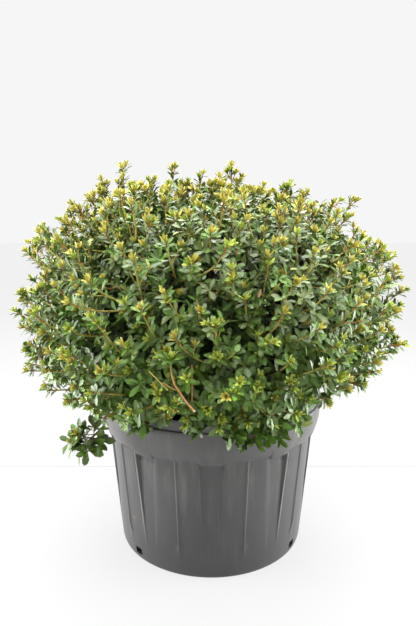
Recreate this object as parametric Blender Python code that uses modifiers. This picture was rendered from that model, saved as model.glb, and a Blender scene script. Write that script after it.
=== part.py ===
"""A round, dense azalea shrub standing in its big fluted nursery tub.

Everything is in metres, +Z up, with the origin at the middle of the tub's flat underside.
The crown is a squashed dome. It is shared out between foliage masses, each of which keeps to
the directions that lie nearest to its own, seen from one point inside the crown.
"""

import math
import random

import bmesh
import bpy
from mathutils import Matrix, Vector, noise

# ---- Driving dimensions -------------------------------------------------------------------
CLEARANCE = 0.0003          # kept between neighbouring solids

TUB_HEIGHT = 0.382
TUB_WALL = 0.0035
FOOT_RADIUS = 0.2215        # where the tub meets the ground
HEEL_RADIUS = 0.2250        # just above the foot
WAIST_RADIUS = 0.2500       # top of the fluted wall
COLLAR_RADIUS = 0.2677      # widest round of the collar
LIP_RADIUS = 0.2640         # the thinner lip above the collar
FLUTES = 10                 # upright recessed panels round the wall
FLUTE_DEPTH = 0.009
FLUTE_LOW, FLUTE_HIGH = 0.050, 0.283
FLUTE_HALF_TOP, FLUTE_HALF_LOW = 6.0, 3.2   # half width of a panel, degrees
FLUTE_EDGE_OUT, FLUTE_EDGE_IN = 0.7, 0.5    # how far a panel's slanted edge runs past that, degrees
RIDGE_RISE = 0.0015         # ridge in the middle of each raised panel
GROOVE_HEIGHT = 0.3585      # groove between the collar and the lip
DRAIN_ANGLES = (-84, -48, 57, 93, 150, -150)  # degrees from the front, anticlockwise from above
DRAIN_SIZE = (0.040, 0.023, 0.017)            # through the wall, along it and upright
DRAIN_HEIGHT = 0.021

SOIL_LEVEL = 0.334
SOIL_CROWN = 0.340          # level patch round the stem

CROWN_EYE = Vector((0.0, 0.0, 0.520))   # all masses are laid out as seen from here
# (degrees above level, distance from the eye) of the crown's outline
CROWN_OUTLINE = ((-90, 0.12), (-34, 0.264), (-27, 0.324), (-20, 0.372), (-13, 0.408), (-3, 0.437),
                 (10, 0.454), (20, 0.461), (29, 0.459), (38, 0.441), (50, 0.414), (68, 0.382), (90, 0.366))
CROWN_SWELL = 0.035         # how far the outline wanders, as a share of its distance
CORE_OUTER, CORE_INNER = 0.88, 0.46     # dense heart of a mass, as shares of the outline
CORE_FLOOR = 0.424          # no core reaches lower, so the low bough runs free under the skirt
BOUGH_REACH, STEM_REACH = 0.35, 0.60    # where a bough ends and where its mass's own stem does
CELL_MARGIN = math.radians(0.8)         # kept from the neighbouring mass, seen from the eye
UPPER_MASSES, LOWER_MASSES = 4, 6
UPPER_TURN = 60             # degrees from the front to the first shoulder, so no two seams line up
UPPER_ELEVATION, LOWER_ELEVATION = 43, 0
TWIG_DIRECTIONS = 178       # spread evenly over a whole sphere, of which the crown takes its part
TWIG_START = 0.74           # where a twig starts inside the core, as a share of the outline
TWIG_TILT = 0.06            # how far the twigs lean towards the middle of their mass
TWIG_LIFT = 0.015           # how far their tips turn up
TWIG_THICK, TWIG_THIN = 0.0055, 0.0028
LEAF_LENGTH, LEAF_WIDTH, LEAF_THICK = 0.066, 0.036, 0.0034
LEAVES_PER_TWIG = 3
LIMB_MARGIN = 0.014         # kept free of foliage round the middle line of a limb

STEM_FOOT_RADIUS, STEM_RADIUS, STEM_TOP = 0.034, 0.022, 0.412
BOUGH_THICK, BOUGH_THIN = 0.0075, 0.0048

LOW_BOUGH_ROOT = Vector((-0.004, 0.002, 0.3505))
LOW_BOUGH_HIGH = Vector((-0.116, -0.098, 0.401))  # under the skirt, on its way to the lip
SPRAY_KNEE = Vector((-0.212, -0.194, 0.404))      # where the low bough turns down over the lip
SPRAY_FOOT = Vector((-0.228, -0.204, 0.359))      # where the hanging spray takes over
SPRAY_BEND = Vector((-0.247, -0.209, 0.334))
SPRAY_TIP = Vector((-0.272, -0.213, 0.312))
LOW_BOUGH_THICK, LOW_BOUGH_THIN, DROP_THIN = 0.0056, 0.0036, 0.0031
SPRAY_THICK, SPRAY_THIN = 0.0030, 0.0022
SPRAY_TWIGS = 9
SPRAY_TWIG_LENGTH = (0.020, 0.028)
SPRAY_LEAF = 0.043


# ---- Helpers ------------------------------------------------------------------------------
def clear_scene():
    for obj in list(bpy.data.objects):
        bpy.data.objects.remove(obj, do_unlink=True)


def new_collection(name):
    collection = bpy.data.collections.new(name)
    bpy.context.scene.collection.children.link(collection)
    return collection


def plain_material(name, colour, roughness, metallic=0.0):
    material = bpy.data.materials.new(name)
    material.use_nodes = True
    shader = material.node_tree.nodes["Principled BSDF"]
    shader.inputs["Base Color"].default_value = (*colour, 1.0)
    shader.inputs["Roughness"].default_value = roughness
    shader.inputs["Metallic"].default_value = metallic
    return material


def place(name, mesh, collection, material=None):
    obj = bpy.data.objects.new(name, mesh)
    collection.objects.link(obj)
    if material:
        mesh.materials.clear()
        mesh.materials.append(material)
    return obj


def mesh_of(bm, name):
    mesh = bpy.data.meshes.new(name)
    bm.to_mesh(mesh)
    bm.free()
    return mesh


def evaluated_mesh(obj):
    graph = bpy.context.evaluated_depsgraph_get()
    return bpy.data.meshes.new_from_object(obj.evaluated_get(graph))


def polar(angle_deg, radius, height):
    """A point of the tub. 0 degrees is the front, at -Y."""
    angle = math.radians(angle_deg)
    return Vector((radius * math.sin(angle), -radius * math.cos(angle), height))


def blend_table(table, value):
    """The second column of the table at this value of the first, straight between rows."""
    for (x0, y0), (x1, y1) in zip(table, table[1:]):
        if value <= x1:
            return y0 + (y1 - y0) * max(0.0, (value - x0) / (x1 - x0))
    return table[-1][1]


def limb_mesh(name, points, radii, sides_resolution=1):
    """A tapering limb with flat ends: a bevelled curve made a mesh, with its caps welded."""
    curve = bpy.data.curves.new(name, "CURVE")
    curve.dimensions = "3D"
    curve.bevel_depth = 1.0
    curve.bevel_resolution = sides_resolution
    curve.use_fill_caps = True
    spline = curve.splines.new("POLY")
    spline.points.add(len(points) - 1)
    for knot, point, radius in zip(spline.points, points, radii):
        knot.co = (*point, 1.0)
        knot.radius = radius
    holder = bpy.data.objects.new(name, curve)
    bpy.context.scene.collection.objects.link(holder)
    mesh = evaluated_mesh(holder)
    bpy.data.objects.remove(holder)
    bpy.data.curves.remove(curve)
    bm = bmesh.new()
    bm.from_mesh(mesh)
    bmesh.ops.remove_doubles(bm, verts=bm.verts, dist=1e-5)
    bmesh.ops.recalc_face_normals(bm, faces=bm.faces)
    bm.to_mesh(mesh)
    bm.free()
    return mesh


def arc_points(start, bend, end, count):
    """Points along a parabola that leaves start towards bend and arrives at end from it."""
    steps = [i / (count - 1) for i in range(count)]
    return [start * (1 - t) ** 2 + bend * 2 * t * (1 - t) + end * t ** 2 for t in steps]


def largest_piece(mesh):
    """Keeps the biggest connected body of a mesh, and so drops scraps and sealed hollows."""
    bm = bmesh.new()
    bm.from_mesh(mesh)
    unseen = set(bm.verts)
    pieces = []
    while unseen:
        stack = [unseen.pop()]
        piece = set(stack)
        while stack:
            for edge in stack.pop().link_edges:
                for vert in edge.verts:
                    if vert in unseen:
                        unseen.discard(vert)
                        piece.add(vert)
                        stack.append(vert)
        pieces.append(piece)
    pieces.sort(key=len)
    scraps = [vert for piece in pieces[:-1] for vert in piece]
    bmesh.ops.delete(bm, geom=scraps, context="VERTS")
    bm.to_mesh(mesh)
    bm.free()
    return mesh


def combine(obj, others, operation, solver="MANIFOLD"):
    """Applies one Boolean with a collection of objects, which are then removed."""
    cutters = new_collection("fusing")
    for other in others:
        for home in list(other.users_collection):
            home.objects.unlink(other)
        cutters.objects.link(other)
    modifier = obj.modifiers.new("fuse", "BOOLEAN")
    modifier.operation = operation
    modifier.operand_type = "COLLECTION"
    modifier.collection = cutters
    modifier.solver = solver
    bpy.context.view_layer.update()
    mesh = evaluated_mesh(obj)
    obj.modifiers.clear()
    obj.data = largest_piece(mesh)
    for other in list(cutters.objects):
        bpy.data.objects.remove(other)
    bpy.data.collections.remove(cutters)
    return obj


# ---- Tub and soil -------------------------------------------------------------------------
def tub_rings():
    """(height, radius, flute depth, half width of the flutes in degrees) from foot to lip."""
    return (
        (0.000, FOOT_RADIUS, 0.0, FLUTE_HALF_LOW),
        (0.004, HEEL_RADIUS, 0.0, FLUTE_HALF_LOW),
        (FLUTE_LOW, HEEL_RADIUS + 0.0046, 0.0, FLUTE_HALF_LOW),
        (FLUTE_HIGH, WAIST_RADIUS, FLUTE_DEPTH, FLUTE_HALF_TOP),
        (FLUTE_HIGH + 0.0035, WAIST_RADIUS + 0.0015, 0.0, FLUTE_HALF_TOP),
        (0.302, COLLAR_RADIUS - 0.0072, 0.0, FLUTE_HALF_TOP),
        (0.326, COLLAR_RADIUS - 0.0012, 0.0, FLUTE_HALF_TOP),
        (GROOVE_HEIGHT - 0.002, COLLAR_RADIUS, 0.0, FLUTE_HALF_TOP),
        (GROOVE_HEIGHT, LIP_RADIUS, 0.0, FLUTE_HALF_TOP),
        (TUB_HEIGHT, LIP_RADIUS, 0.0, FLUTE_HALF_TOP),
    )


def flute_ring(height, radius, depth, half):
    """One ring of the wall: for each flute its two top edges, its two foot edges and a ridge."""
    points = []
    pitch = 360 / FLUTES
    outer, inner = half + FLUTE_EDGE_OUT, half - FLUTE_EDGE_IN
    for flute in range(FLUTES):
        middle = flute * pitch
        for offset, sunk in ((-outer, 0.0), (-inner, 1.0), (inner, 1.0), (outer, 0.0)):
            points.append(polar(middle + offset, radius - depth * sunk, height))
        rise = RIDGE_RISE if FLUTE_LOW <= height <= FLUTE_HIGH else 0.0
        points.append(polar(middle + pitch / 2, radius + rise, height))
    return points


def build_tub(parts, cutters, material):
    bm = bmesh.new()
    rings = tub_rings()
    loop = bmesh.ops.create_circle(bm, segments=5 * FLUTES, radius=FOOT_RADIUS, cap_ends=True)["verts"]
    edges = [edge for edge in bm.edges]
    for vert, point in zip(loop, flute_ring(*rings[0])):
        vert.co = point
    for ring in rings[1:]:
        made = bmesh.ops.extrude_edge_only(bm, edges=edges)["geom"]
        edges = [item for item in made if isinstance(item, bmesh.types.BMEdge)
                 and all(vert in made for vert in item.verts) and item.is_boundary]
        rest = {vert: vert.co.copy() for edge in edges for vert in edge.verts}
        previous = flute_ring(*rings[rings.index(ring) - 1])
        for vert, where in rest.items():
            nearest = min(range(len(previous)), key=lambda i: (previous[i] - where).length_squared)
            vert.co = flute_ring(*ring)[nearest]
    bmesh.ops.recalc_face_normals(bm, faces=bm.faces)
    if bm.faces[0].normal.z > 0 and len(bm.faces[0].verts) > 4:
        bmesh.ops.reverse_faces(bm, faces=bm.faces)
    tub = place("tub", mesh_of(bm, "tub"), parts, material)
    tub.data.shade_smooth()
    tub.data.set_sharp_from_angle(angle=math.radians(25))
    wall = tub.modifiers.new("wall", "SOLIDIFY")
    wall.thickness = TUB_WALL
    wall.offset = -1.0
    for count, angle in enumerate(DRAIN_ANGLES):
        bm = bmesh.new()
        bmesh.ops.create_cube(bm, size=1.0)
        bmesh.ops.scale(bm, vec=DRAIN_SIZE, verts=bm.verts)
        cutter = place(f"drain_cutter_{count}", mesh_of(bm, "drain_cutter"), cutters)
        cutter.location = polar(angle, HEEL_RADIUS, DRAIN_HEIGHT)
        cutter.rotation_euler = (0, 0, math.radians(angle - 90))
        cutter.hide_render = True
        cutter.display_type = "WIRE"
        hole = tub.modifiers.new(f"drain_{count}", "BOOLEAN")
        hole.operation = "DIFFERENCE"
        hole.object = cutter
    return tub


def build_soil(parts, material):
    """The root ball: a turned solid that fills the tub to just under its lip."""
    floor = TUB_WALL + CLEARANCE
    outline = ((0.0, SOIL_CROWN), (0.060, SOIL_CROWN), (0.2555, SOIL_LEVEL), (0.2555, 0.322), (0.2480, 0.308),
               (0.2340, 0.296), (0.2335, 0.280), (0.2205, 0.050), (0.2145, floor), (0.0, floor))
    bm = bmesh.new()
    line = [bm.verts.new((radius, 0, height)) for radius, height in outline]
    for low, high in zip(line, line[1:]):
        bm.edges.new((low, high))
    soil = place("root_ball", mesh_of(bm, "root_ball"), parts, material)
    turn = soil.modifiers.new("turn", "SCREW")
    turn.steps = turn.render_steps = 36
    turn.use_merge_vertices = True
    turn.merge_threshold = 0.0001
    turn.use_normal_calculate = True
    return soil


# ---- Crown layout -------------------------------------------------------------------------
def direction(azimuth_deg, elevation_deg):
    azimuth, elevation = math.radians(azimuth_deg), math.radians(elevation_deg)
    return Vector((math.cos(elevation) * math.sin(azimuth), -math.cos(elevation) * math.cos(azimuth),
                   math.sin(elevation)))


def mass_directions():
    """Name and direction of each foliage mass: a top, a ring of shoulders and a ring of skirts."""
    found = {"top": direction(0, 90)}
    for i in range(UPPER_MASSES):
        found[f"shoulder_{i + 1}"] = direction(UPPER_TURN + 360 * i / UPPER_MASSES, UPPER_ELEVATION)
    for i in range(LOWER_MASSES):
        found[f"skirt_{i + 1}"] = direction(360 * i / LOWER_MASSES, LOWER_ELEVATION)
    return found


def outline_distance(toward):
    """How far the crown reaches from the eye in this direction."""
    elevation = math.degrees(math.asin(max(-1.0, min(1.0, toward.z))))
    wander = noise.noise(toward * 2.6 + Vector((4.0, 1.0, 7.0)))
    return blend_table(CROWN_OUTLINE, elevation) * (1 + CROWN_SWELL * wander)


def clear_of_tub(point, margin=0.004):
    """True above the tub's lip, or outside its collar and not below its middle."""
    reach = math.hypot(point.x, point.y)
    if reach < COLLAR_RADIUS + margin:
        return point.z > TUB_HEIGHT + margin
    return point.z > 0.330


def clear_of_limbs(point, limbs):
    """True where a point keeps away from every stretch (start, end) of the limbs."""
    for start, end in limbs:
        run = end - start
        share = max(0.0, min(1.0, (point - start).dot(run) / run.length_squared))
        if (point - start - run * share).length < LIMB_MARGIN:
            return False
    return True


def in_space(point, own, directions, reach_share=1.0):
    """True where a point is inside the crown and nearer to this mass's direction than to any other."""
    ray = point - CROWN_EYE
    toward = ray.normalized()
    if ray.length > outline_distance(toward) * reach_share or not clear_of_tub(point):
        return False
    own_angle = toward.angle(directions[own])
    return all(toward.angle(other) - own_angle > 2 * CELL_MARGIN
               for name, other in directions.items() if name != own)


def even_directions(count):
    """Directions spread evenly over a sphere along a golden spiral."""
    turn = math.pi * (3 - math.sqrt(5))
    for i in range(count):
        height = 1 - 2 * (i + 0.5) / count
        ring = math.sqrt(1 - height * height)
        yield Vector((ring * math.cos(turn * i), ring * math.sin(turn * i), height))


# ---- Foliage ------------------------------------------------------------------------------
def core_mesh(name, own, directions, limbs):
    """The dense heart of a mass: a ball pushed out to the middle part of the mass's space."""
    toward = directions[own]
    middle = CROWN_EYE + toward * outline_distance(toward) * (CORE_OUTER + CORE_INNER) / 2
    bm = bmesh.new()
    bmesh.ops.create_icosphere(bm, subdivisions=2, radius=1.0)
    for vert in bm.verts:
        away = vert.co.normalized()
        low, high = 0.0, 0.24
        for _ in range(14):
            trial = (low + high) / 2
            point = middle + away * trial
            inside = point.z > CORE_FLOOR and clear_of_limbs(point, limbs) and \
                in_space(point, own, directions, CORE_OUTER) and \
                (point - CROWN_EYE).length > CORE_INNER * outline_distance((point - CROWN_EYE).normalized())
            low, high = (trial, high) if inside else (low, trial)
        ripple = 0.965 + 0.03 * noise.noise(away * 3 + toward * 9)
        vert.co = middle + away * low * ripple
    return mesh_of(bm, name)


def leaf_matrix(root, along, up):
    """Frame of a leaf: X along it, Z across its blade's thickness."""
    x = along.normalized()
    y = up.cross(x)
    y = y.normalized() if y.length > 1e-6 else x.orthogonal().normalized()
    z = x.cross(y)
    turned = Matrix((x, y, z)).transposed().to_4x4()
    turned.translation = root
    return turned


def leaf_mesh(matrix, length, width):
    """A leaf of eight faces, widest past its middle and with its root at the origin."""
    bm = bmesh.new()
    bmesh.ops.create_uvsphere(bm, u_segments=4, v_segments=2, radius=1.0)
    for vert in bm.verts:
        along = 0.5 + 0.5 * vert.co.x if abs(vert.co.x) > 0.5 else 0.58
        vert.co = Vector((along * length, vert.co.y * width / 2, vert.co.z * LEAF_THICK / 2))
    bmesh.ops.transform(bm, matrix=matrix, verts=bm.verts)
    return mesh_of(bm, "leaf")


def twig_mesh(start, end, thick, thin):
    """A three-sided tapering twig."""
    bm = bmesh.new()
    run = end - start
    bmesh.ops.create_cone(bm, cap_ends=True, segments=3, radius1=thick, radius2=thin, depth=run.length)
    turned = Matrix.Translation((start + end) / 2) @ run.to_track_quat("Z", "Y").to_matrix().to_4x4()
    bmesh.ops.transform(bm, matrix=turned, verts=bm.verts)
    return mesh_of(bm, "twig")


def leafy_twig(start, end, allowed, rng, collection, leaves, length):
    """A twig with leaves fused on round its outer half and one at its tip. Returns its objects."""
    run = end - start
    twig = place("twig", twig_mesh(start, end, TWIG_THICK, TWIG_THIN), collection)
    if not all(allowed(vert.co) for vert in twig.data.vertices):
        bpy.data.objects.remove(twig)
        return []
    made = [twig]
    side = run.orthogonal().normalized()
    spin = rng.uniform(0, math.tau)
    for i in range(leaves):
        share = 1.0 - 0.30 * i / max(1, leaves - 1)
        root = start + run * share - run.normalized() * TWIG_THIN
        spread = math.radians(18 if i == 0 else rng.uniform(58, 80))
        around = Matrix.Rotation(spin + i * math.radians(137), 3, run.normalized()) @ side
        along = run.normalized() * math.cos(spread) + around * math.sin(spread) + Vector((0, 0, 0.12))
        size = length * rng.uniform(0.88, 1.08)
        for shrink in (1.0, 0.82, 0.66, 0.5):
            matrix = leaf_matrix(root, along, run + Vector((0, 0, 0.05)))
            leaf = place("leaf", leaf_mesh(matrix, size * shrink, LEAF_WIDTH * shrink ** 0.5), collection)
            spine = [matrix @ Vector((size * shrink * k, 0, 0)) for k in (0.2, 0.4, 0.6, 0.8)]
            if all(allowed(point) for point in [*spine, *(vert.co for vert in leaf.data.vertices)]):
                made.append(leaf)
                break
            bpy.data.objects.remove(leaf)
    return made


def build_mass(own, directions, limbs, parts, material, stem_foot, run):
    """One dense mass: its core, its stem, and leafy twigs that stand out of the core."""
    rng = random.Random(f"azalea {own}")
    name = f"foliage_{own}"
    core = place(name, core_mesh(name, own, directions, limbs), parts)
    toward = directions[own]
    inner = CROWN_EYE + toward * outline_distance(toward) * STEM_REACH
    stem_line = [stem_foot, stem_foot + run * 0.012, inner]
    stem_radii = [BOUGH_THIN, BOUGH_THIN * 0.95, BOUGH_THIN * 0.8]
    members = [place("stem", limb_mesh("stem", stem_line, stem_radii), parts)]

    def allowed(point):
        return in_space(point, own, directions) and clear_of_limbs(point, limbs)

    for ray in even_directions(TWIG_DIRECTIONS):
        tilted = (ray + toward * TWIG_TILT).normalized()
        if min(directions, key=lambda other: ray.angle(directions[other])) != own:
            continue
        reach = outline_distance(tilted)
        start = CROWN_EYE + tilted * reach * TWIG_START
        end = CROWN_EYE + tilted * (reach - LEAF_LENGTH * 0.80) + Vector((0, 0, TWIG_LIFT))
        members += leafy_twig(start, end, allowed, rng, parts, LEAVES_PER_TWIG, LEAF_LENGTH)
    fused = combine(core, members, "UNION")
    fused.data.materials.clear()
    fused.data.materials.append(material)
    return fused


def build_spray(parts, material, stem_foot):
    """The one open spray that hangs outside the tub, with no core."""
    rng = random.Random("hanging spray")
    drop = (SPRAY_FOOT - SPRAY_KNEE).normalized()
    line = [stem_foot, *arc_points(stem_foot + drop * 0.010, SPRAY_BEND, SPRAY_TIP, 5)]
    step = (SPRAY_THICK - SPRAY_THIN) / (len(line) - 1)
    radii = [SPRAY_THICK - step * i for i in range(len(line))]
    stem = place("foliage_hanging_spray", limb_mesh("stem", line, radii), parts)

    def allowed(point):
        # outside the collar and below the crown's own outline
        ray = point - CROWN_EYE
        below = ray.length > outline_distance(ray.normalized()) + 0.003
        return below and math.hypot(point.x, point.y) > COLLAR_RADIUS + 0.003

    members = []
    for i in range(SPRAY_TWIGS):
        share = 0.50 + 0.50 * i / (SPRAY_TWIGS - 1)
        at = line[0].lerp(line[-1], share)
        nearest = min((a.lerp(b, k / 6) for a, b in zip(line, line[1:]) for k in range(7)),
                      key=lambda point: (point - at).length)
        angle = i * math.radians(137)
        sideways, upright = 0.85 * math.cos(angle) - 0.20, 0.80 * math.sin(angle) - 0.15
        outward = Vector((sideways, 0.35 * math.sin(2 * angle), upright))
        end = nearest + outward.normalized() * rng.uniform(*SPRAY_TWIG_LENGTH)
        members += leafy_twig(nearest, end, allowed, rng, parts, LEAVES_PER_TWIG, SPRAY_LEAF)
    fused = combine(stem, members, "UNION")
    fused.data.materials.clear()
    fused.data.materials.append(material)
    return fused


# ---- Limbs --------------------------------------------------------------------------------
STEM_POINTS = (Vector((0, 0, SOIL_CROWN + CLEARANCE)), Vector((0, 0, SOIL_CROWN + 0.011)),
               Vector((0.002, 0.001, 0.376)), Vector((0.004, 0.002, STEM_TOP)))
STEM_RADII = (STEM_FOOT_RADIUS, STEM_RADIUS + 0.005, STEM_RADIUS + 0.0015, STEM_RADIUS)


def build_stem(parts, material):
    stem = place("main_stem", limb_mesh("main_stem", STEM_POINTS, STEM_RADII, 3), parts, material)
    stem.data.shade_smooth()
    return stem


def stem_cutter(parts):
    """The main stem with the clearance added all round, to shape the feet of the boughs."""
    low, *between, high = STEM_POINTS
    line = [low - Vector((0, 0, 0.003)), *between, high + Vector((0, 0, CLEARANCE))]
    radii = [radius + CLEARANCE for radius in STEM_RADII]
    return place("stem_cutter", limb_mesh("stem_cutter", line, radii, 3), parts)


def bough_line(own, toward):
    """From inside the main stem out to the foot of the mass's own stem."""
    tip = CROWN_EYE + toward * outline_distance(toward) * BOUGH_REACH
    level = {"top": STEM_TOP - 0.004, "shoulder": 0.392, "skirt": 0.366}[own.split("_")[0]]
    side = Vector((toward.x, toward.y, 0))
    side = side.normalized() if side.length > 1e-3 else Vector((0, 0, 0))
    root = Vector((0.003, 0.0015, level)) + side * 0.006
    bend = root.lerp(tip, 0.5) + side * 0.030 - Vector((0, 0, 0.008))
    return arc_points(root, bend, tip, 5)


def build_bough(name, line, thick, thin, parts, material):
    radii = [thick + (thin - thick) * i / (len(line) - 1) for i in range(len(line))]
    bough = place(name, limb_mesh(name, line, radii), parts)
    combine(bough, [stem_cutter(parts)], "DIFFERENCE", "EXACT")
    bough.data.materials.clear()
    bough.data.materials.append(material)
    return bough


def low_bough_line():
    """Out over the lip of the tub, where its last short length already points down the drop."""
    drop = (SPRAY_FOOT - SPRAY_KNEE).normalized()
    shoulder = SPRAY_KNEE - drop * 0.008
    rising = LOW_BOUGH_ROOT.lerp(LOW_BOUGH_HIGH, 0.5) - Vector((0, 0, 0.004))
    arching = shoulder.lerp(LOW_BOUGH_HIGH, 0.35) + Vector((0, 0, 0.004))
    return [LOW_BOUGH_ROOT, rising, LOW_BOUGH_HIGH, arching, shoulder, SPRAY_KNEE - drop * CLEARANCE]


def build_drop(parts, material):
    """The outer length of the low bough, which turns down over the lip of the tub."""
    run = (SPRAY_FOOT - SPRAY_KNEE).normalized()
    line = [SPRAY_KNEE, SPRAY_FOOT - run * CLEARANCE]
    return place("bough_hanging_outer", limb_mesh("drop", line, [LOW_BOUGH_THIN, DROP_THIN]), parts, material)


# ---- The whole plant ----------------------------------------------------------------------
def main():
    clear_scene()
    parts = new_collection("azalea_shrub")
    cutters = new_collection("cutters")
    plastic = plain_material("tub_plastic", (0.105, 0.107, 0.108), 0.55)
    peat = plain_material("potting_soil", (0.030, 0.022, 0.016), 0.95)
    bark = plain_material("bark", (0.170, 0.090, 0.050), 0.80)
    leaf = plain_material("leaf", (0.055, 0.120, 0.035), 0.45)

    build_tub(parts, cutters, plastic)
    build_soil(parts, peat)
    build_stem(parts, bark)
    directions = mass_directions()
    lines = {own: bough_line(own, toward) for own, toward in directions.items()}
    limbs = [pair for line in (*lines.values(), low_bough_line()) for pair in zip(line, line[1:])]
    limbs.append((SPRAY_KNEE, SPRAY_FOOT))
    for own, line in lines.items():
        build_bough(f"bough_{own}", line, BOUGH_THICK, BOUGH_THIN, parts, bark)
        run = (line[-1] - line[-2]).normalized()
        build_mass(own, directions, limbs, parts, leaf, line[-1] + run * CLEARANCE, run)

    build_bough("bough_hanging_inner", low_bough_line(), LOW_BOUGH_THICK, LOW_BOUGH_THIN, parts, bark)
    build_drop(parts, bark)
    build_spray(parts, leaf, SPRAY_FOOT)


main()
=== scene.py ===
import math
import random

import bmesh
import bpy
import numpy as np
from mathutils import Matrix, Vector, noise


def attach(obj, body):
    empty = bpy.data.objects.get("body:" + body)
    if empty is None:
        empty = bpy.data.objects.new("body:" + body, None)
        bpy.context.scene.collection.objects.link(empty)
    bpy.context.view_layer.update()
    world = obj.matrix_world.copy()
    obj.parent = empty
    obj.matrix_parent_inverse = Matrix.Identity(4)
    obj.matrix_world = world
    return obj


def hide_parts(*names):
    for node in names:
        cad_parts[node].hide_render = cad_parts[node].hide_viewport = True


# A dense azalea shrub in its fluted nursery tub. Metres, +Z up, front at -Y.
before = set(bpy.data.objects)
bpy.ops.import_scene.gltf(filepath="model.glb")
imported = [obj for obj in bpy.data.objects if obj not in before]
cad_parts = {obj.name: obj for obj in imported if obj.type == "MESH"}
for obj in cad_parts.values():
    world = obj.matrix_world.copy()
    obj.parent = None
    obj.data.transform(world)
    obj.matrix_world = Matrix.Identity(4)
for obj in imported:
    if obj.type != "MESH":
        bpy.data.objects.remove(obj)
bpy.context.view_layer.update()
scene = bpy.context.scene
print("frame:", len(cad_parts), "nodes loaded")

# camera, backdrop and light
studio = {
    "cameraPlace": (-0.0078, -1.3408, 0.808),
    "tiltDown": 10.56,          # degrees below level
    "focalPixels": 561.1,
    "longSide": 626,            # pixels
    "sensor": 36.0,             # mm, along the long side
    "clip": (0.05, 60),
    "backdropGlow": 0.925,      # what the camera sees behind the plant
    "backdropColour": (0.995, 0.995, 1.0),
    "fillColour": (1.0, 0.995, 0.97),
    "fillTurn": (-0.6, 0.5),    # along Y, from where the room's light is its front value to its back value
    "fillFront": 0.46,
    "fillBack": 0.95,
    "floorHalf": 12.0,
    # a paler sheet lies under the tub and ends just behind it, with a faint painted shadow at its edge: a
    # strip that glows less
    "sheets": (                 # name, level, reach behind the tub, glow, base
        ("studioFloor", -0.0030, 12.0, 0.797, 0.066),
        ("sheetShadow", -0.0020, 0.333, 0.600, 0.070),
        ("studioSheet", -0.0004, 0.325, 0.750, 0.095),
    ),
    "panels": (                 # name, place, aim, size, power
        ("skyPanel", (0.0, -0.35, 2.5), (0, 0, 0.45), 2.4, 118),
        ("leftPanel", (-2.2, -0.4, 1.1), (0, 0, 0.40), 1.6, 46),
        ("rightPanel", (2.2, -0.3, 1.1), (0, 0, 0.40), 1.6, 47),
        ("lowLeftPanel", (-1.5, -0.15, 0.36), (0, 0, 0.18), 0.8, 25),
        ("lowRightPanel", (1.5, -0.10, 0.36), (0, 0, 0.18), 0.8, 27),
        ("frontPanel", (0.1, -2.6, 0.5), (0, 0, 0.15), 0.7, 4),
        ("backPanel", (0.0, 1.7, 2.1), (0, 0, 0.80), 1.4, 68),
    ),
}


def setCamera():
    lens = bpy.data.cameras.new("studioCamera")
    lens.sensor_fit = "AUTO"
    lens.sensor_width = studio["sensor"]
    lens.lens = studio["focalPixels"] / studio["longSide"] * studio["sensor"]
    lens.clip_start, lens.clip_end = studio["clip"]
    camera = newObject("studioCamera", lens)
    camera.location = studio["cameraPlace"]
    camera.rotation_euler = (math.radians(90 - studio["tiltDown"]), 0, 0)
    scene.camera = camera
    scene.view_settings.view_transform = "Standard"


def hangPanels():
    for name, place, aim, size, power in studio["panels"]:
        lamp = bpy.data.lights.new(name, "AREA")
        lamp.shape = "SQUARE"
        lamp.size = size
        lamp.energy = power
        panel = newObject(name, lamp)
        panel.location = place
        panel.rotation_euler = (Vector(aim) - Vector(place)).to_track_quat("-Z", "Y").to_euler()
    print("light:", len(studio["panels"]), "panels")


def setSky():
    # near white behind the plant for the camera; as a light it is dimmer from the front than from the back
    world = bpy.data.worlds.new("studioWorld")
    scene.world = world
    world.use_nodes = True
    tree = world.node_tree
    tree.nodes.clear()
    place = step(tree, "TexCoord").outputs["Generated"]
    turn = step(tree, "SeparateXYZ", {0: place}).outputs["Y"]
    strength = spread(tree, turn, *studio["fillTurn"], studio["fillFront"], studio["fillBack"])
    seen, fill = (step(tree, "Background", {"Color": (*studio[colour], 1), "Strength": glow})
                  for colour, glow in (("backdropColour", studio["backdropGlow"]), ("fillColour", strength)))
    path = step(tree, "LightPath").outputs["Is Camera Ray"]
    mix = step(tree, "MixShader", {0: path, 1: fill.outputs[0], 2: seen.outputs[0]})
    step(tree, "OutputWorld", {"Surface": mix.outputs[0]})


def layFloor():
    for name, level, back, glow, base in studio["sheets"]:
        bm = bmesh.new()
        bmesh.ops.create_grid(bm, x_segments=1, y_segments=1, size=studio["floorHalf"])
        for vert in bm.verts:
            vert.co = Vector((vert.co.x, back if vert.co.y > 0 else vert.co.y, level))
        newPiece(name, toMesh(bm, name), glowingWhite(name, glow, base))


# small helpers
def toMesh(bm, name):
    mesh = bpy.data.meshes.new(name)
    bm.to_mesh(mesh)
    bm.free()
    return mesh


def newObject(name, data):
    made = bpy.data.objects.new(name, data)
    scene.collection.objects.link(made)
    return made


def newPiece(name, mesh, surface):
    piece = newObject(name, mesh)
    mesh.materials.clear()
    mesh.materials.append(surface)
    return piece


def handOver(piece, slotName, *nodes):
    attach(piece, "root")
    if nodes:
        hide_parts(*nodes)


def finishedMesh(obj):
    graph = bpy.context.evaluated_depsgraph_get()
    return bpy.data.meshes.new_from_object(obj.evaluated_get(graph))


def blendTable(table, value):
    for (x0, y0), (x1, y1) in zip(table, table[1:]):
        if value <= x1:
            return y0 + (y1 - y0) * max(0.0, (value - x0) / (x1 - x0))
    return table[-1][1]


def smoothStep(low, high, value):
    share = max(0.0, min(1.0, (value - low) / (high - low)))
    return share * share * (3 - 2 * share)


def arcPoints(start, bend, end, count):
    steps = [i / (count - 1) for i in range(count)]
    return [start * (1 - t) ** 2 + bend * 2 * t * (1 - t) + end * t ** 2 for t in steps]


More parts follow.
